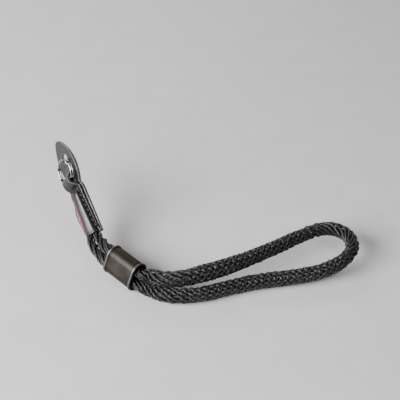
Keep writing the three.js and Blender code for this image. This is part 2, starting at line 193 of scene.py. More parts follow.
def new_material(name, color, roughness, metallic=0.0):
    material = bpy.data.materials.new(name)
    material.use_nodes = True
    shader = material.node_tree.nodes["Principled BSDF"]
    shader.inputs["Base Color"].default_value = (*color, 1)
    shader.inputs["Roughness"].default_value = roughness
    shader.inputs["Metallic"].default_value = metallic
    return material, material.node_tree.nodes, material.node_tree.links, shader


def coordinates(nodes, links, source, scale):
    """Texture coordinates scaled along each axis: source is Object, in metres, or UV, in millimetres."""
    place = nodes.new("ShaderNodeTexCoord")
    mapping = nodes.new("ShaderNodeMapping")
    mapping.inputs["Scale"].default_value = scale
    links.new(place.outputs[source], mapping.inputs["Vector"])
    return mapping.outputs["Vector"]


def noise(nodes, links, vector, scale, detail=3.0, roughness=0.55):
    texture = nodes.new("ShaderNodeTexNoise")
    texture.inputs["Scale"].default_value = scale
    texture.inputs["Detail"].default_value = detail
    texture.inputs["Roughness"].default_value = roughness
    links.new(vector, texture.inputs["Vector"])
    return texture.outputs["Fac"]


def as_color(value):
    """A colour with its alpha, from a colour or a grey."""
    return (*value, 1) if hasattr(value, "__len__") else (value, value, value, 1)


def ramp(nodes, links, factor, low, high, first, last):
    """A blend from the colour or grey first to last as the factor goes from low to high."""
    blend = nodes.new("ShaderNodeValToRGB")
    start, end = blend.color_ramp.elements
    start.position, end.position = low, high
    start.color, end.color = as_color(first), as_color(last)
    links.new(factor, blend.inputs["Fac"])
    return blend.outputs["Color"]


def bump(nodes, links, height, distance, strength, under=None):
    """A bump of this distance, in metres, on top of the one under it."""
    node = nodes.new("ShaderNodeBump")
    node.inputs["Distance"].default_value = distance
    node.inputs["Strength"].default_value = strength
    links.new(height, node.inputs["Height"])
    if under is not None:
        links.new(under, node.inputs["Normal"])
    return node.outputs["Normal"]


def edge_highlight_color(nodes, links, shader, color, painted_highlight):
    """The base colour, blended into a paler painted highlight where a skin's points are a cut edge."""
    edge = nodes.new("ShaderNodeAttribute")
    edge.attribute_name = "cut_edge"
    mix = nodes.new("ShaderNodeMix")
    mix.data_type = "RGBA"
    links.new(edge.outputs["Fac"], mix.inputs["Factor"])
    links.new(color, mix.inputs["A"])
    mix.inputs["B"].default_value = as_color(painted_highlight)
    links.new(mix.outputs["Result"], shader.inputs["Base Color"])


def leather_material():
    """Black calf leather: fine pebbled grain, soft patches of wear, and a paler painted highlight along its
    edges.
    """
    material, nodes, links, shader = new_material("black_leather", (0.02, 0.019, 0.02), 0.36)
    place = coordinates(nodes, links, "Object", (1, 1, 1))
    cells = nodes.new("ShaderNodeTexVoronoi")
    cells.feature = "DISTANCE_TO_EDGE"
    cells.inputs["Scale"].default_value = 1900
    links.new(place, cells.inputs["Vector"])
    grain = ramp(nodes, links, cells.outputs["Distance"], low=0.0, high=0.25, first=0.0, last=1.0)
    patches = noise(nodes, links, place, scale=260, detail=4.0)
    color = ramp(nodes, links, patches, low=0.3, high=0.75,
                 first=(0.01, 0.0095, 0.0105), last=(0.02, 0.019, 0.0205))
    # The paler colour on the cut edges and their roundings is a painted highlight, where the edges catch the
    # light.
    edge_highlight_color(nodes, links, shader, color, painted_highlight=(0.075, 0.07, 0.073))
    roughness = ramp(nodes, links, patches, low=0.25, high=0.8, first=0.32, last=0.46)
    links.new(roughness, shader.inputs["Roughness"])
    # The leather's shine is that of its dressing, a coat over a dull black skin.
    shader.inputs["Coat Weight"].default_value = 1.0
    shader.inputs["Coat Roughness"].default_value = 0.3
    shader.inputs["Specular IOR Level"].default_value = 0.0
    soft = bump(nodes, links, patches, distance=0.0004, strength=0.25)
    pebbled = bump(nodes, links, grain, distance=0.00005, strength=0.5, under=soft)
    links.new(pebbled, shader.inputs["Normal"])
    return material


def cord_material():
    """Black twisted cord: yarns that run round it, with a soft fibre sheen."""
    material, nodes, links, shader = new_material("black_cord", (0.016, 0.015, 0.016), 0.42)
    yarn_place = coordinates(nodes, links, "UV", (0.9, 4.5, 1))
    yarns = noise(nodes, links, yarn_place, scale=1.6, detail=2.0)
    place = coordinates(nodes, links, "Object", (1, 1, 1))
    patches = noise(nodes, links, place, scale=420)
    color = ramp(nodes, links, patches, low=0.3, high=0.7,
                 first=(0.005, 0.0047, 0.005), last=(0.015, 0.014, 0.0147))
    links.new(color, shader.inputs["Base Color"])
    roughness = ramp(nodes, links, yarns, low=0.3, high=0.7, first=0.38, last=0.54)
    links.new(roughness, shader.inputs["Roughness"])
    shader.inputs["Specular IOR Level"].default_value = 0.36
    shader.inputs["Sheen Weight"].default_value = 0.03
    shader.inputs["Sheen Roughness"].default_value = 0.4
    links.new(bump(nodes, links, yarns, distance=0.0002, strength=0.6), shader.inputs["Normal"])
    return material


def thread_material(name, dark, light):
    """Waxed sewing thread."""
    material, nodes, links, shader = new_material(name, light, 0.7)
    place = coordinates(nodes, links, "Object", (1, 1, 1))
    patches = noise(nodes, links, place, scale=900)
    color = ramp(nodes, links, patches, low=0.35, high=0.65, first=dark, last=light)
    links.new(color, shader.inputs["Base Color"])
    links.new(bump(nodes, links, patches, distance=0.0002, strength=0.5), shader.inputs["Normal"])
    return material


def gunmetal_material():
    """Warm grey metal, brushed along the slider, with a paler painted highlight on its rims."""
    material, nodes, links, shader = new_material("brushed_gunmetal", (0.05, 0.044, 0.04), 0.34, 1.0)
    brushed_place = coordinates(nodes, links, "UV", (0.12, 6.0, 1))
    brushed = noise(nodes, links, brushed_place, scale=2.2, detail=4.0, roughness=0.7)
    place = coordinates(nodes, links, "Object", (1, 1, 1))
    stains = noise(nodes, links, place, scale=140)
    color = ramp(nodes, links, stains, low=0.3, high=0.75,
                 first=(0.026, 0.023, 0.021), last=(0.048, 0.043, 0.039))
    # The paler colour on the rims is a painted highlight.
    edge_highlight_color(nodes, links, shader, color, painted_highlight=(0.115, 0.105, 0.097))
    roughness = ramp(nodes, links, brushed, low=0.25, high=0.75, first=0.44, last=0.58)
    links.new(roughness, shader.inputs["Roughness"])
    links.new(bump(nodes, links, brushed, distance=0.00004, strength=0.35), shader.inputs["Normal"])
    return material


def chrome_material():
    """Polished chrome wire."""
    return new_material("chrome_wire", (0.36, 0.36, 0.365), 0.09, 1.0)[0]


LEATHER = leather_material()
CORD = cord_material()
RED_THREAD = thread_material("red_thread", (0.14, 0.006, 0.01), (0.42, 0.025, 0.035))
BLACK_THREAD = thread_material("black_thread", (0.002, 0.002, 0.002), (0.008, 0.008, 0.008))
GUNMETAL = gunmetal_material()
CHROME = chrome_material()


# ---------------------------------------------------------------- split ring

RING_INNER_RADIUS = 7.0
RING_WIRE_RADIUS = 0.58
RING_PITCH = 1.26
RING_WIRE_START = 125     # in degrees, as the four below are
RING_STEP_START = 310
RING_STEP_END = 350
RING_WIRE_END = 668
RING_DEGREE_STEP = 3
RING_WIRE_SIDES = 16
RING_TIP = 0.55           # the wire's ends, as a share of its radius
RING_HALF_HEIGHT = RING_PITCH / 2 + RING_WIRE_RADIUS


def split_ring():
    """The ring's wire: two turns, with a step up from the first to the second."""
    degrees = np.linspace(0, RING_WIRE_END, RING_WIRE_END // RING_DEGREE_STEP + 1)
    angle = np.radians(degrees + RING_WIRE_START)[:, None]
    climb = np.clip((degrees - RING_STEP_START) / (RING_STEP_END - RING_STEP_START), 0, 1)
    climb = (eased(climb) - 0.5)[:, None]
    across, out = strap_facing(RING_INNER_RADIUS)
    radial = across * np.cos(angle) + STRAP_DIRECTION * np.sin(angle)
    middle = on_strap(RING_INNER_RADIUS, 0, 0) + radial * (RING_INNER_RADIUS + RING_WIRE_RADIUS)
    middle = middle + out * climb * RING_PITCH
    turn = round_turn(RING_WIRE_SIDES)
    # The wire's ends are ground to a short tip.
    from_end = np.minimum(degrees, RING_WIRE_END - degrees)
    tip = np.minimum(1, from_end / (2 * RING_DEGREE_STEP) * (1 - RING_TIP) + RING_TIP)
    reach = RING_WIRE_RADIUS * tip[:, None, None]
    sections = (middle[:, None] + radial[:, None] * np.cos(turn)[None, :, None] * reach
                + out * np.sin(turn)[None, :, None] * reach)
    return mesh_object("split_ring_wire", [skin(sections)], CHROME)


# ---------------------------------------------------------------- front leather

GAP = 0.25                # between the ring and the leather, and between the leathers
FRONT_WALL = 1.3
NECK_WALL = 1.0
TAIL_FACE_OUT = -(RING_HALF_HEIGHT + GAP)
BACK_FACE_OUT = TAIL_FACE_OUT - NECK_WALL - GAP
SLEEVE_OUT = BACK_FACE_OUT + GAP
NECK_OUT = TAIL_FACE_OUT + GAP
BRIDGE_OUT = 2.5
FOLD_RUN = 5.2
MOUTH_RUN = 51.4

# The strip's inner face from the sleeve's mouth to its tail: run, out, left and right edge, wall, and the
# dome's inner height and its left and right foot.
FRONT_STRIP = [
    (MOUTH_RUN, SLEEVE_OUT, -5.9, 5.8, FRONT_WALL, 3.5, -3.9, 4.0),
    (49, SLEEVE_OUT, -5.8, 5.5, FRONT_WALL, 3.1, -3.4, 3.2),
    (45, SLEEVE_OUT, -6.2, 5.2, FRONT_WALL, 2.8, -3.1, 2.6),
    (40, SLEEVE_OUT, -6.9, 5.1, FRONT_WALL, 2.7, -2.9, 2.4),
    (34, SLEEVE_OUT, -6.9, 5.0, FRONT_WALL, 2.6, -2.8, 2.2),
    (29, SLEEVE_OUT, -6.0, 5.0, FRONT_WALL, 2.6, -2.8, 2.1),
    (24.2, SLEEVE_OUT, -5.7, 5.0, FRONT_WALL, 2.5, -2.8, 2.1),
    (22.4, SLEEVE_OUT, -5.7, 5.1, FRONT_WALL, 2.0, -2.9, 2.0),
    (21.2, SLEEVE_OUT, -5.7, 5.2, FRONT_WALL, 1.2, -3.0, 1.9),
    (20.3, SLEEVE_OUT, -5.8, 5.6, FRONT_WALL, 0.5, -2.9, 1.8),
    (19.4, SLEEVE_OUT + 0.2, -5.7, 5.7, FRONT_WALL, 0, -2.9, 1.6),
    (18.4, SLEEVE_OUT + 1.3, -5.4, 5.4, FRONT_WALL, 0, -2.8, 1.8),
    (17.5, 0.7, -4.8, 5.2, FRONT_WALL, 0, -2.4, 2.0),
    (16.6, 1.9, -4.2, 4.6, FRONT_WALL, 0, -2.1, 2.1),
    (15.4, BRIDGE_OUT, -3.5, 4.1, FRONT_WALL, 0, -1.8, 2.1),
    (13.9, BRIDGE_OUT, -3.3, 4.1, FRONT_WALL, 0, -1.5, 2.1),
    (12.4, 1.7, -2.8, 4.0, 1.2, 0, -1.1, 2.1),
    (11, 0.2, -2.2, 3.8, 1.1, 0, -0.8, 2.1),
    (9.6, NECK_OUT + 0.3, -1.7, 3.7, NECK_WALL, 0, -0.4, 2.1),
    (8, NECK_OUT, -1.3, 3.5, NECK_WALL, 0, -0.2, 2.1),
]
# The same from the left edge on, for the fold round the ring and the tail behind it.
NECK = (-1.1, 3.5, NECK_WALL, 0, 0, 2.1)
TAIL_RUNS = (11, 14.5, 17.6)
STRIP_SPLINE_STEPS = 5
STRIP_STEP = 0.3
FOLD_STEPS = 16
DOME_SIDE_WALL = 0.7      # how much of the wall the dome's outer face is wider by, on each side
DOME_CREST = 0.62         # how far across the dome its crest lies
DOME_FLATNESS = 0.72      # 1 would be a half oval, and less is flatter on top
ARCH_POINTS = 38
FLANGE_STEPS = 9
WALL_STEPS = 6
SECTION_SMOOTHINGS = 3

# The stitches along both feet of the dome.
STITCH_PITCH = 3.5
STITCH_LENGTH = 2.0
STITCH_RADIUS = 0.85
STITCH_FROM_FOOT = 0.45
STITCH_SLANT = 1.0
STITCH_SINK = -0.7        # where its ends lie under the leather's face
STITCH_CREST = 0.36       # and its middle above it
STITCH_SHOULDER = 0.3     # how high it is where it bends down to its hole
STITCH_SHOULDER_FROM_END = 0.35
STITCH_HOLE_FROM_END = 0.05
SCALLOP = 0.32            # how far the thread pulls in the flanges' edges
SEAM_LEAD = 1             # how far before its first stitch a seam's pull sets in,
SEAM_STEEPNESS = 2        # and how suddenly
SEAM_DENT = 0.22          # how deep it pulls in the leather all along the seam,
SEAM_SPREAD = 0.35        # how wide that is, squared,
HOLE_DENT = 0.34          # how much deeper it is at each hole,
HOLE_LENGTH = 0.16        # and how long and how wide that is, squared
HOLE_WIDTH = 0.4
RED_FIRST_RUN = 25.5
BLACK_FIRST_RUN = 21.3
LAST_STITCH_RUN = 50.4


def stitch_runs(first):
    """Where each stitch of a row starts, from the first one's run."""
    count = int((LAST_STITCH_RUN - first) / STITCH_PITCH)
    return [first + STITCH_PITCH * i for i in range(count)]


def segment(a, b, steps):
    """Points from a towards b, without b."""
    t = np.linspace(0, 1, steps, endpoint=False)[:, None]
    return np.asarray(a, float) * (1 - t) + np.asarray(b, float) * t


def stitch_across(side, run):
    """How far across a row of stitches lies: -1 is the red row on the left, 1 the black one."""
    runs, feet = np.array([(row[0], row[6 if side < 0 else 7]) for row in FRONT_STRIP[::-1]]).T
    return np.interp(run, runs, feet) + side * (DOME_SIDE_WALL * FRONT_WALL + STITCH_FROM_FOOT)


def seam_share(run, first):
    """How fully a seam that starts at first has set in at this run: 0 before it and 1 along it."""
    return 1 / (1 + np.exp((first - SEAM_LEAD - run) * SEAM_STEEPNESS))


def strip_section(left, right, wall, dome, left_foot, right_foot):
    """The strip's section as (across, height) points round it, and which of them are cut edges."""
    dome = max(dome, 0.0)

    def face(height):
        wider = DOME_SIDE_WALL * height * min(dome, 1)
        start, end = left_foot - wider, right_foot + wider
        crest = start + (end - start) * DOME_CREST
        angle = np.linspace(np.pi, 0, ARCH_POINTS)
        reach = np.where(np.cos(angle) < 0, crest - start, end - crest)
        aside = np.sign(np.cos(angle)) * np.abs(np.cos(angle)) ** DOME_FLATNESS
        arch = np.stack([crest + reach * aside, height + dome * np.sin(angle) ** DOME_FLATNESS], axis=1)
        return np.concatenate([
            segment((left, height), arch[0], FLANGE_STEPS),
            arch[:-1],
            segment(arch[-1], (right, height), FLANGE_STEPS),
        ])

    top, bottom = face(wall), face(0)[::-1]
    right_edge = segment((right, wall), (right, 0), WALL_STEPS)
    left_edge = segment((left, 0), (left, wall), WALL_STEPS)
    ring = np.concatenate([top, right_edge, bottom, left_edge])
    edge = np.zeros(len(ring))
    edge[len(top) - 1:len(top) + WALL_STEPS + 1] = 1
    edge[-WALL_STEPS - 1:] = 1
    edge[0] = 1
    for _ in range(SECTION_SMOOTHINGS):
        ring = ring / 2 + (np.roll(ring, 1, axis=0) + np.roll(ring, -1, axis=0)) / 4
    return ring, edge


def stitch_dents(run, across, height, wall):
    """How far the leather is pulled in round the stitch holes and along the seams."""
    dent = np.zeros_like(across)
    for side, first in ((-1, RED_FIRST_RUN), (1, BLACK_FIRST_RUN)):
        away = (across - stitch_across(side, run)) ** 2
        dent = dent + SEAM_DENT * seam_share(run, first) * np.exp(-away / SEAM_SPREAD)
        for start in stitch_runs(first):
            for hole in (start, start + STITCH_LENGTH):
                dent = dent + HOLE_DENT * np.exp(-(run - hole) ** 2 / HOLE_LENGTH - away / HOLE_WIDTH)
    return np.where(height > wall / 2, dent, 0)


def scallop(run, side):
    """How far the thread pulls the strip's edge in at this run."""
    first = RED_FIRST_RUN if side < 0 else BLACK_FIRST_RUN
    between_holes = 0.5 + 0.5 * np.cos(2 * np.pi * (run - first) / STITCH_PITCH)
    return SCALLOP * seam_share(run, first) * between_holes


def front_leather():
    """One strip from the sleeve's mouth up over the ring, round it and down to the tail."""
    fold_radius = GAP / 2
    angle = np.pi * (0.5 + np.arange(FOLD_STEPS + 1) / FOLD_STEPS)
    fold = np.stack([FOLD_RUN + fold_radius * np.cos(angle),
                     TAIL_FACE_OUT + fold_radius * (1 + np.sin(angle))], axis=1)
    strip = spline(FRONT_STRIP, STRIP_SPLINE_STEPS)
    strip, _ = evenly(strip, strip[:, :2], STRIP_STEP)
    rest = [(*place, *NECK) for place in fold] + [(run, TAIL_FACE_OUT, *NECK) for run in TAIL_RUNS]
    stations = np.concatenate([strip, rest])
    forward = unit(np.gradient(stations[:, :2], axis=0))
    sections, edges = [], []
    for (run, out, *shape), (ahead_run, ahead_out) in zip(stations, forward):
        left, right, *shape = shape
        ring, edge = strip_section(left + scallop(run, -1), right - scallop(run, 1), *shape)
        height = ring[:, 1] - stitch_dents(run, ring[:, 0], ring[:, 1], shape[0])
        sections.append(on_strap(run + height * ahead_out, ring[:, 0], out - height * ahead_run))
        edges.append(edge)
    body = skin(np.array(sections), edge=np.concatenate(edges))
    return mesh_object("front_leather_skin", [body], LEATHER)


# ---------------------------------------------------------------- back leather

BACK_WALL = 1.9
EDGE_ROUNDING = 0.45
LUG_HOLE_RADIUS = 3.4
LUG_HOLE_RUN = -1.5
OUTLINE_SPLINE_STEPS = 6
OUTLINE_STEP = 0.45
MOUTH_STEPS = 8
POINT_STEPS = 4
FACE_RINGS = 14
CLOSER_AT_HOLE = 1.5      # above 1, the rings of points lie closer together at the hole
ROUNDING_STEPS = 5

# The outline: run, left and right.
BACK_OUTLINE = [
    (-15, -2.0, -0.8),
    (-14.6, -2.9, 0.4),
    (-13.4, -4.1, 1.9),
    (-11, -5.6, 4.1),
    (-7.5, -7.3, 6.4),
    (-3.5, -8.5, 8.2),
    (1, -9.1, 9.3),
    (5, -8.9, 9.6),
    (9, -8.2, 9.1),
    (12.5, -7.2, 7.9),
    (15, -6.3, 6.6),
    (16.8, -5.6, 5.5),
    (17.8, -5.7, 5.6),
    (18.6, -6, 6.1),
    (20, -6.3, 6.4),
    (25, -6.3, 6.3),
    (34, -6.8, 6.2),
    (40, -6.7, 6.1),
    (45, -6, 6),
    (MOUTH_RUN, -6, 6),
]


def back_leather():
    """The pad and the sleeve's back: rings of points from the lug hole out to the edge, on both faces."""
    rows = spline(BACK_OUTLINE, OUTLINE_SPLINE_STEPS)
    left, right = rows[:, [0, 1]], rows[::-1][:, [0, 2]]
    mouth = segment(left[-1], right[0], MOUTH_STEPS)[1:]
    point = segment(right[-1], left[0], POINT_STEPS)[1:]
    closed = np.concatenate([left, mouth, right, point, left[:1]])
    outline, _ = evenly(closed, closed, OUTLINE_STEP)
    outline = outline[:-1]
    ahead = unit(np.roll(outline, -1, axis=0) - np.roll(outline, 1, axis=0))
    inward = np.stack([ahead[:, 1], -ahead[:, 0]], axis=1)
    centre = np.array([LUG_HOLE_RUN, 0])
    if ((outline + inward - centre) ** 2).sum() > ((outline - centre) ** 2).sum():
        inward = -inward
    inset = outline + inward * EDGE_ROUNDING
    to_edge = unit(inset - centre)
    hole = centre + to_edge * LUG_HOLE_RADIUS
    hole_inset = centre + to_edge * (LUG_HOLE_RADIUS + EDGE_ROUNDING)

    bend = np.linspace(0, np.pi / 2, ROUNDING_STEPS + 1)[1:]
    front, back = 0.0, -BACK_WALL
    loops, edge = [], []

    def add(place, out, is_edge):
        loops.append(on_strap(place[:, 0], place[:, 1], BACK_FACE_OUT + out))
        edge.append(np.full(len(place), float(is_edge)))

    def add_face(shares, out):
        for share in shares:
            add(hole_inset * (1 - share) + inset * share, out, False)

    def add_rounding(start, end, face, inwards, angles):
        for angle in angles:
            place = start + (end - start) * np.sin(angle)
            add(place, face + inwards * EDGE_ROUNDING * (1 - np.cos(angle)), True)

    shares = np.linspace(0, 1, FACE_RINGS) ** CLOSER_AT_HOLE
    add_face(shares, front)
    add_rounding(inset, outline, front, -1, bend)
    add_rounding(inset, outline, back, 1, bend[::-1])
    add_face(shares[::-1], back)
    add_rounding(hole_inset, hole, back, 1, bend)
    add_rounding(hole_inset, hole, front, -1, bend[::-1])
    body = skin(np.array(loops), closed=True, edge=np.concatenate(edge))
    return mesh_object("back_leather_skin", [body], LEATHER)


# ---------------------------------------------------------------- stitches

THREAD_SIDES = 8
THREAD_STEPS = 8
THREAD_TWIST = 2.4        # for one turn of its two plies
THREAD_PLY = 0.15         # how deep the groove between them is, as a share of its radius

# How far along a stitch, and how far above the leather.
STITCH_SHAPE = [
    (0, STITCH_SINK),
    (STITCH_HOLE_FROM_END, 0.0),
    (STITCH_SHOULDER_FROM_END, STITCH_SHOULDER),
    (STITCH_LENGTH / 2, STITCH_CREST),
    (STITCH_LENGTH - STITCH_SHOULDER_FROM_END, STITCH_SHOULDER),
    (STITCH_LENGTH - STITCH_HOLE_FROM_END, 0.0),
    (STITCH_LENGTH, STITCH_SINK),
]


def thread(points, radius):
    """A skin of two twisted plies along a short line of points."""
    line = spline(points, THREAD_STEPS)
    ahead = unit(np.gradient(line, axis=0))
    side = unit(np.cross(ahead, UP))
    above = np.cross(side, ahead)
    turn = round_turn(THREAD_SIDES)
    twist = length_along(line)[:, None] * 2 * np.pi / THREAD_TWIST
    reach = radius * (1 - THREAD_PLY + THREAD_PLY * np.cos(2 * (turn[None] - twist)))[..., None]
    sections = (line[:, None] + side[:, None] * np.cos(turn)[None, :, None] * reach
                + above[:, None] * np.sin(turn)[None, :, None] * reach)
    return skin(sections)


def stitch_row(side, first, front):
    """The stitches of one row, on the front or the back of the sleeve."""
    face, sign = (SLEEVE_OUT + FRONT_WALL, 1) if front else (BACK_FACE_OUT - BACK_WALL, -1)
    skins = []
    for start in stitch_runs(first):
        across = stitch_across(side, start + STITCH_LENGTH / 2)
        points = []
        for run, rise in STITCH_SHAPE:
            slant = STITCH_SLANT * (run / STITCH_LENGTH - 0.5)
            points.append(on_strap(start + run, across + slant, face + sign * rise))
        skins.append(thread(points, STITCH_RADIUS))
    return skins


def stitches():
    """The red row and the black row, each on both faces of the sleeve."""
    made = []
    rows = (
        ("red_stitches", -1, RED_FIRST_RUN, RED_THREAD),
        ("black_stitches", 1, BLACK_FIRST_RUN, BLACK_THREAD),
    )
    for name, side, first, material in rows:
        skins = stitch_row(side, first, True) + stitch_row(side, first, False)
        made.append(mesh_object(name, skins, material))
    return made


# ---------------------------------------------------------------- slider

SLIDER_LENGTH = 22.5
BORE_HALF_WIDTH = 7.7
BORE_HALF_HEIGHT = 4.3
SLIDER_WALL = 1.1
RIM = 0.4
GROOVE = 0.2
BORE_CHAMFER = 0.3
BORE_CHAMFER_LENGTH = 0.35
END_ROUNDING = 0.06
HIGHLIT_RIM = 0.03           # how far below a rim's top its painted highlight reaches
SLIDER_TURN = math.radians(24)
SLIDER_SIDE_STEPS = 28
SLIDER_FLAT_STEPS = 6
TABLE_Z = -42.2
SLIDER_STRAIGHT = BORE_HALF_WIDTH - BORE_HALF_HEIGHT

SLIDER_DIRECTION = unit(np.array([0.43, -0.89, -0.11]))
SLIDER_OUT = unit(np.cross(SLIDER_DIRECTION, UP)) * math.cos(SLIDER_TURN) + UP * math.sin(SLIDER_TURN)
SLIDER_ACROSS = np.cross(SLIDER_OUT, SLIDER_DIRECTION)
SLIDER_CENTRE = np.array([15.5, -75.4, TABLE_Z + BORE_HALF_HEIGHT + SLIDER_WALL + RIM
                          + SLIDER_STRAIGHT * SLIDER_ACROSS[2] - SLIDER_DIRECTION[2] * SLIDER_LENGTH / 2])

# The outer face from an end towards the middle: how far in, and how far over the barrel.
SLIDER_END = [
    (0.0, -0.15),
    (0.08, 0.12),
    (0.28, RIM - 0.05),
    (0.5, RIM),
    (1.3, RIM),
    (1.5, RIM - 0.06),
    (1.62, RIM - 0.25),
    (1.72, -GROOVE + 0.08),
    (1.9, -GROOVE),
    (2.3, -GROOVE),
    (2.5, -GROOVE + 0.06),
    (2.65, -0.03),
    (2.9, 0),
]
BARREL_PLACES = (-5, -2.5, 0, 2.5, 5)
BORE_PLACES = (5, 0, -5)


def slider():
    """The slider's tube: its outer face from end to end, and back through the bore."""
    half, barrel = SLIDER_LENGTH / 2, BORE_HALF_HEIGHT + SLIDER_WALL
    profile = [(-half + run, barrel + over) for run, over in SLIDER_END]
    profile += [(place, barrel) for place in BARREL_PLACES]
    profile += [(half - run, barrel + over) for run, over in reversed(SLIDER_END)]
    profile += [(half - END_ROUNDING, BORE_HALF_HEIGHT + BORE_CHAMFER)]
    profile += [(half - BORE_CHAMFER_LENGTH, BORE_HALF_HEIGHT)]
    profile += [(place, BORE_HALF_HEIGHT) for place in BORE_PLACES]
    profile += [(-half + BORE_CHAMFER_LENGTH, BORE_HALF_HEIGHT)]
    profile += [(-half + END_ROUNDING, BORE_HALF_HEIGHT + BORE_CHAMFER)]
    angle = np.pi * (np.arange(SLIDER_SIDE_STEPS + 1) / SLIDER_SIDE_STEPS - 0.5)
    count = len(angle)
    side = np.repeat([1, -1], count)
    angle = np.tile(angle, 2)
    sections = []
    for along, radius in profile:
        across = side * (SLIDER_STRAIGHT + radius * np.cos(angle))
        out = side * radius * np.sin(angle)
        oval = np.stack([across, out], axis=1)
        first_flat = segment(oval[count - 1], oval[count], SLIDER_FLAT_STEPS)[1:]
        second_flat = segment(oval[-1], oval[0], SLIDER_FLAT_STEPS)[1:]
        oval = np.concatenate([oval[:count], first_flat, oval[count:], second_flat])
        sections.append(SLIDER_CENTRE + SLIDER_DIRECTION * along
                        + SLIDER_ACROSS * oval[:, :1] + SLIDER_OUT * oval[:, 1:])
    # The rims that get the painted highlight.
    painted_highlight = [float(radius > barrel + RIM - HIGHLIT_RIM) for _, radius in profile]
    painted_highlight = np.repeat(painted_highlight, len(sections[0]))
    return mesh_object("slider_tube", [skin(np.array(sections), closed=True, edge=painted_highlight)], GUNMETAL)


# ---------------------------------------------------------------- rope loop

# The loop from where it leaves the slider to where it comes back to it, in metres: x, y, z, the rope's
# thickness, and how far its cords are braided, from 0 where they lie side by side to 1.
LOOP_ROUTE = [
    (0.0270, -0.0895, -0.0312, 0.0096, 0),
    (0.0335, -0.0963, -0.0302, 0.0100, 0.1),
    (0.0420, -0.0999, -0.0296, 0.0106, 0.6),
    (0.0540, -0.1010, -0.0294, 0.0112, 1),
    (0.0700, -0.1004, -0.0296, 0.0108, 1),
    (0.0860, -0.0984, -0.0298, 0.0098, 1),
    (0.1030, -0.0956, -0.0296, 0.0093, 1),
    (0.1200, -0.0923, -0.0294, 0.0090, 1),
    (0.1335, -0.0910, -0.0293, 0.0090, 0.5),
    (0.1410, -0.0938, -0.0293, 0.0088, 0),
    (0.1456, -0.1000, -0.0295, 0.0086, 0),
    (0.1464, -0.1076, -0.0299, 0.0086, 0),
    (0.1428, -0.1148, -0.0309, 0.0088, 0.4),
    (0.1345, -0.1194, -0.0324, 0.0090, 1),
    (0.1230, -0.1206, -0.0344, 0.0094, 1),
    (0.1090, -0.1178, -0.0362, 0.0098, 1),
    (0.0930, -0.1134, -0.0372, 0.0098, 1),
    (0.0800, -0.1110, -0.0372, 0.0096, 1),
    (0.0650, -0.1098, -0.0373, 0.0096, 1),
    (0.0510, -0.1089, -0.0373, 0.0096, 1),
    (0.0380, -0.1053, -0.0373, 0.0096, 0.6),
    (0.0295, -0.0994, -0.0374, 0.0094, 0.1),
    (0.0246, -0.0930, -0.0376, 0.0090, 0),
]
ROUTE_STEPS = 24

CORDS_EACH_WAY = 8
CORD_SIDES = 8
STATION_STEP = 0.31
BRAID_PITCH = 30.0        # for one turn of a braided cord round the rope
BUNDLE_PITCH = 64.0       # for one turn where the cords lie side by side
PLY_PITCH = 5.2           # for one turn of a cord's own two plies
PLY_DEPTH = 0.3           # how deep the groove between them is, as a share of the cord's radius,
SMOOTH_PLY = 0.12         # and where they lie smooth:
BEND_SHARE = 0.15         # at the far bend, as a share of the rope's length from its middle,
SLIDER_SHARE = 0.383      # and between the sleeve and the slider's middle

# A braided cord. The ones that wind one way are wider than the ones that wind the other way.
BRAID_HALF_WIDTH = {1: 1.3, -1: 0.8}
BRAID_HALF_THICKNESS = 0.85
BRAID_RISE = 0.42         # how far it rises and falls as it goes over and under
WANDER_ANGLE = 0.1        # how far a cord strays from its even place, in radians,
WANDER_RADIUS = 0.14      # and towards or away from the rope's middle
WANDER_STEP = 4.0
ANGLE_SEED = 1
RADIUS_SEED = 51
SEEDS_A_CORD = 100

# A cord that lies side by side with the others. An outer one's radius is:
BUNDLE_CORD = 0.92        # where the rope is full,
SQUEEZED_CORD = 0.75      # where it is squeezed,
NARROW_CORD = 0.38        # and at most this share of the rope's radius
SINK = 0.5                # how far every other one sinks where it is squeezed, as such a share too
FULL_RADIUS = 4.2         # the rope's radius above which it is full,
SQUEEZED_RADIUS = 3.0     # and below which it is wholly squeezed
SLIMMER_BY = 0.6          # how much thinner than its thickest the rope is where its cords turn faster,
SLIMMER_TWIST = 1.4       # how much faster for each millimetre more,
MOST_TWIST = 0.7          # and the most of it
INNER_CORD = 0.16         # an inner cord's radius, as a share of the rope's,
INNER_RADIUS = 0.3        # and how far from the rope's middle it lies, as a share too


ROPE_OVER_BACK = 1.3      # how far out from the sleeve's floor the legs' middles lie inside it


def leg_on_strap(run, across, out, wide, deep):
    """One row of the rope's route along the leather: place, thickness both ways, braid and across."""
    return [*on_strap(run, across, out), wide, deep, 0, *strap_facing(run)[0]]


def leg_in_slider(along, side, apart, wide, deep):
    """One row of the rope's route inside the slider or beside it."""
    place = SLIDER_CENTRE + SLIDER_DIRECTION * along + SLIDER_ACROSS * side * apart
    return [*place, wide, deep, 0, *SLIDER_ACROSS]


def leg_rows(side):
    """One leg of the rope from its end in the sleeve to just past the slider. side is 1 or -1."""
    half = SLIDER_LENGTH / 2
    sleeve = SLEEVE_OUT + ROPE_OVER_BACK
    return [
        leg_on_strap(27, 1.15 * side - 0.3, sleeve, 2.2, 1.8),
        leg_on_strap(36, 1.15 * side - 0.3, sleeve, 2.2, 1.9),
        leg_on_strap(44, 1.3 * side - 0.2, sleeve, 2.5, 2.2),
        leg_on_strap(MOUTH_RUN - 0.5, 1.9 * side, sleeve + 0.4, 3.8, 3.3),
        leg_on_strap(MOUTH_RUN + 3.5, 3.0 * side, BACK_FACE_OUT + 2.3, 6.4, 5.4),
        leg_in_slider(-half - 5.5, side, 3.8, 7.9, 7),
        leg_in_slider(-half, side, 3.75, 7, 7.7),
        leg_in_slider(0, side, 3.75, 7, 7.7),
        leg_in_slider(half, side, 3.75, 7, 7.6),
        leg_in_slider(half + 3, side, 3.85, 7.4, 8),
    ]


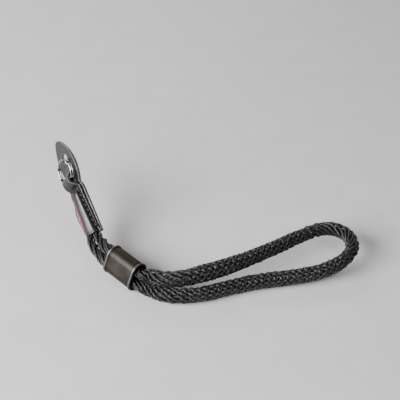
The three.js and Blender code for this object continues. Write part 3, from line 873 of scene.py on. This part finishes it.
def rope_stations():
    """The rope's centres, across and out directions, thickness both ways, braid and length along it."""
    loop = []
    for x, y, z, thick, braid in LOOP_ROUTE:
        loop.append([x / MM, y / MM, z / MM, thick / MM, thick / MM, braid, *UP])
    rows = np.array(leg_rows(1) + loop + leg_rows(-1)[::-1])
    places = spline(rows[:, :3], ROUTE_STEPS)
    at = np.arange(len(places)) / ROUTE_STEPS
    others = np.stack([np.interp(at, np.arange(len(rows)), column) for column in rows[:, 3:].T], axis=1)
    columns, along = evenly(np.concatenate([places, others], axis=1), places, STATION_STEP)
    centre, (wide, deep, braid), across = columns[:, :3], columns[:, 3:6].T, columns[:, 6:]
    ahead = unit(np.gradient(centre, axis=0))
    across = unit(across - ahead * (across * ahead).sum(axis=1, keepdims=True))
    return centre, across, np.cross(ahead, across), wide, deep, braid, along


def wander(along, amount, seed):
    """A smooth stray that changes every few millimetres."""
    knots = np.arange(0, along[-1] + 3 * WANDER_STEP, WANDER_STEP)
    values = np.random.default_rng(seed).uniform(-amount, amount, len(knots))
    place = along / WANDER_STEP
    i = place.astype(int)
    share = eased(place - i)
    return values[i] * (1 - share) + values[i + 1] * share


def cord_skins(stations, way):
    """The cords that wind one way round the rope.

    way is 1 for those that lie outside where it isn't braided, and -1 for the others.
    """
    centre, across, out, wide, deep, braid, along = stations
    step = np.gradient(along)
    braided = 2 * np.pi * np.cumsum(way * braid / BRAID_PITCH * step)
    rope_radius = (wide + deep) / 4
    squeezed = np.clip((FULL_RADIUS - rope_radius) / (FULL_RADIUS - SQUEEZED_RADIUS), 0, 1) * (1 - braid)
    slimmer = rope_radius.max() - rope_radius - SLIMMER_BY
    faster = 1 + np.clip(SLIMMER_TWIST * slimmer, 0, MOST_TWIST)
    bundled = 2 * np.pi * np.cumsum((1 - braid) * faster / BUNDLE_PITCH * step)
    from_middle = np.abs(along / along[-1] - 0.5)
    smooth = (1 - braid) * ((from_middle < BEND_SHARE) | (from_middle > SLIDER_SHARE))
    ply = (PLY_DEPTH * (1 - smooth) + SMOOTH_PLY * smooth)[:, None]
    over = way * np.cos(CORDS_EACH_WAY * braided)
    turn = round_turn(CORD_SIDES)
    skins = []
    for k in range(CORDS_EACH_WAY):
        seed = SEEDS_A_CORD * k + way
        astray = wander(along, WANDER_ANGLE, seed + ANGLE_SEED)
        angle = braided + bundled + 2 * np.pi * k / CORDS_EACH_WAY + astray
        if way > 0:
            loose_radius = np.minimum(BUNDLE_CORD * (1 - squeezed) + SQUEEZED_CORD * squeezed,
                                      rope_radius * NARROW_CORD)
            loose_inset = loose_radius + SINK * rope_radius * squeezed * (k % 2)
        else:
            loose_radius = rope_radius * INNER_CORD
            loose_inset = rope_radius * (1 - INNER_RADIUS)
        inset = braid * (BRAID_HALF_THICKNESS + BRAID_RISE * (1 - over)) + (1 - braid) * loose_inset
        inset = inset + wander(along, WANDER_RADIUS, seed + RADIUS_SEED) * rope_radius / rope_radius.max()
        middle = (centre + across * ((wide / 2 - inset) * np.cos(angle))[:, None]
                  + out * ((deep / 2 - inset) * np.sin(angle))[:, None])
        ahead = unit(np.gradient(middle, axis=0))
        radial = across * np.cos(angle)[:, None] + out * np.sin(angle)[:, None]
        side = unit(np.cross(ahead, radial))
        radial = np.cross(side, ahead)
        half_width = braid * BRAID_HALF_WIDTH[way] + (1 - braid) * loose_radius
        half_thick = braid * BRAID_HALF_THICKNESS + (1 - braid) * loose_radius
        twist = length_along(middle)[:, None] * 2 * np.pi / PLY_PITCH + k
        lobe = 1 - ply + ply * np.cos(2 * (turn[None] - twist))
        sections = (middle[:, None] + side[:, None] * (half_width[:, None] * lobe * np.cos(turn))[..., None]
                    + radial[:, None] * (half_thick[:, None] * lobe * np.sin(turn))[..., None])
        skins.append(skin(sections))
    return skins


def rope_loop():
    """The outer and the inner cords, and the rope's own line."""
    stations = rope_stations()
    outer = mesh_object("rope_cords_outer", cord_skins(stations, 1), CORD)
    inner = mesh_object("rope_cords_inner", cord_skins(stations, -1), CORD)
    return outer, inner, stations[0]


# ---------------------------------------------------------------- the pieces and their bodies

wire = split_ring()
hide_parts("split_ring")
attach(wire, "ring")

front = front_leather()
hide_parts("front_leather")
back = back_leather()
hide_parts("back_leather")
for piece in (front, back):
    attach(piece, "strap")

for piece in stitches():
    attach(piece, "strap")

tube = slider()
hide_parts("slider")
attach(tube, "strap")

outer_cords, inner_cords, rope_line = rope_loop()
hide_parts("rope_loop")
for piece in (outer_cords, inner_cords):
    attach(piece, "strap")


# ---------------------------------------------------------------- floor, light and camera

FLOOR_SIZE = 8.0
LIGHT_TARGET = (0.07, -0.07, -0.03)

# The name, the place, the size and the power of each light, in metres and watts.
STUDIO_LIGHTS = [
    ("key", (-0.75, -0.25, 0.5), (0.95, 0.55), 35),
    ("fill", (0.4, -0.7, 0.8), (0.5, 0.4), 3),
    ("back", (0.1, 0.8, 0.5), (0.9, 0.3), 5),
]
WORLD_COLOR = (0.9, 0.88, 0.9, 1)
WORLD_STRENGTH = 0.09

CAMERA_PLACE = (-0.0783, -0.5155, 0.3478)
CAMERA_YAW, CAMERA_PITCH, CAMERA_ROLL = (math.radians(v) for v in (17.95, 36.70, -3.43))
CAMERA_LENS = 90
CAMERA_SENSOR_WIDTH = 36


def floor():
    """The plain pale floor that the strap lies on."""
    material, nodes, links, shader = new_material("floor", (0.5, 0.48, 0.49), 0.75)
    place = coordinates(nodes, links, "Object", (1, 1, 1))
    mottle = noise(nodes, links, place, scale=60, detail=4.0)
    color = ramp(nodes, links, mottle, low=0.35, high=0.7, first=(0.49, 0.47, 0.48), last=(0.52, 0.5, 0.51))
    links.new(color, shader.inputs["Base Color"])
    half, z = FLOOR_SIZE / 2, TABLE_Z * MM
    corners = [(-half, -half, z), (half, -half, z), (half, half, z), (-half, half, z)]
    mesh = bpy.data.meshes.new("floor")
    mesh.from_pydata(corners, [], [(0, 1, 2, 3)])
    mesh.materials.append(material)
    add_object("floor", mesh)


def facing(place, right, above, back):
    """A matrix at place with these X, Y and Z axes."""
    axes = np.stack([right, above, back], axis=1)
    return Matrix([[*row, part] for row, part in zip(axes, place)] + [[0, 0, 0, 1]])


def area_light(name, place, size, watts):
    """A rectangular light that faces the object."""
    data = bpy.data.lights.new(name, "AREA")
    data.shape = "RECTANGLE"
    data.size, data.size_y = size
    data.energy = watts
    back = unit(np.array(place) - np.array(LIGHT_TARGET))
    right = unit(np.cross(UP, back))
    obj = add_object(name, data)
    obj.matrix_world = facing(place, right, np.cross(back, right), back)


def lights():
    """The soft studio light."""
    for each in STUDIO_LIGHTS:
        area_light(*each)
    world = bpy.data.worlds.new("studio")
    world.use_nodes = True
    background = world.node_tree.nodes["Background"]
    background.inputs["Color"].default_value = WORLD_COLOR
    background.inputs["Strength"].default_value = WORLD_STRENGTH
    bpy.context.scene.world = world


def camera():
    """The camera, turned by its yaw and pitch and then rolled about its own line of sight."""
    data = bpy.data.cameras.new("camera")
    data.lens = CAMERA_LENS
    data.sensor_width = CAMERA_SENSOR_WIDTH
    level = math.cos(CAMERA_PITCH)
    ahead = np.array([math.sin(CAMERA_YAW) * level, math.cos(CAMERA_YAW) * level, -math.sin(CAMERA_PITCH)])
    right = unit(np.cross(ahead, UP))
    above = np.cross(right, ahead)
    rolled_right = right * math.cos(CAMERA_ROLL) + above * math.sin(CAMERA_ROLL)
    rolled_above = above * math.cos(CAMERA_ROLL) - right * math.sin(CAMERA_ROLL)
    obj = add_object("camera", data)
    obj.matrix_world = facing(CAMERA_PLACE, rolled_right, rolled_above, -ahead)
    bpy.context.scene.camera = obj


floor()
lights()
camera()
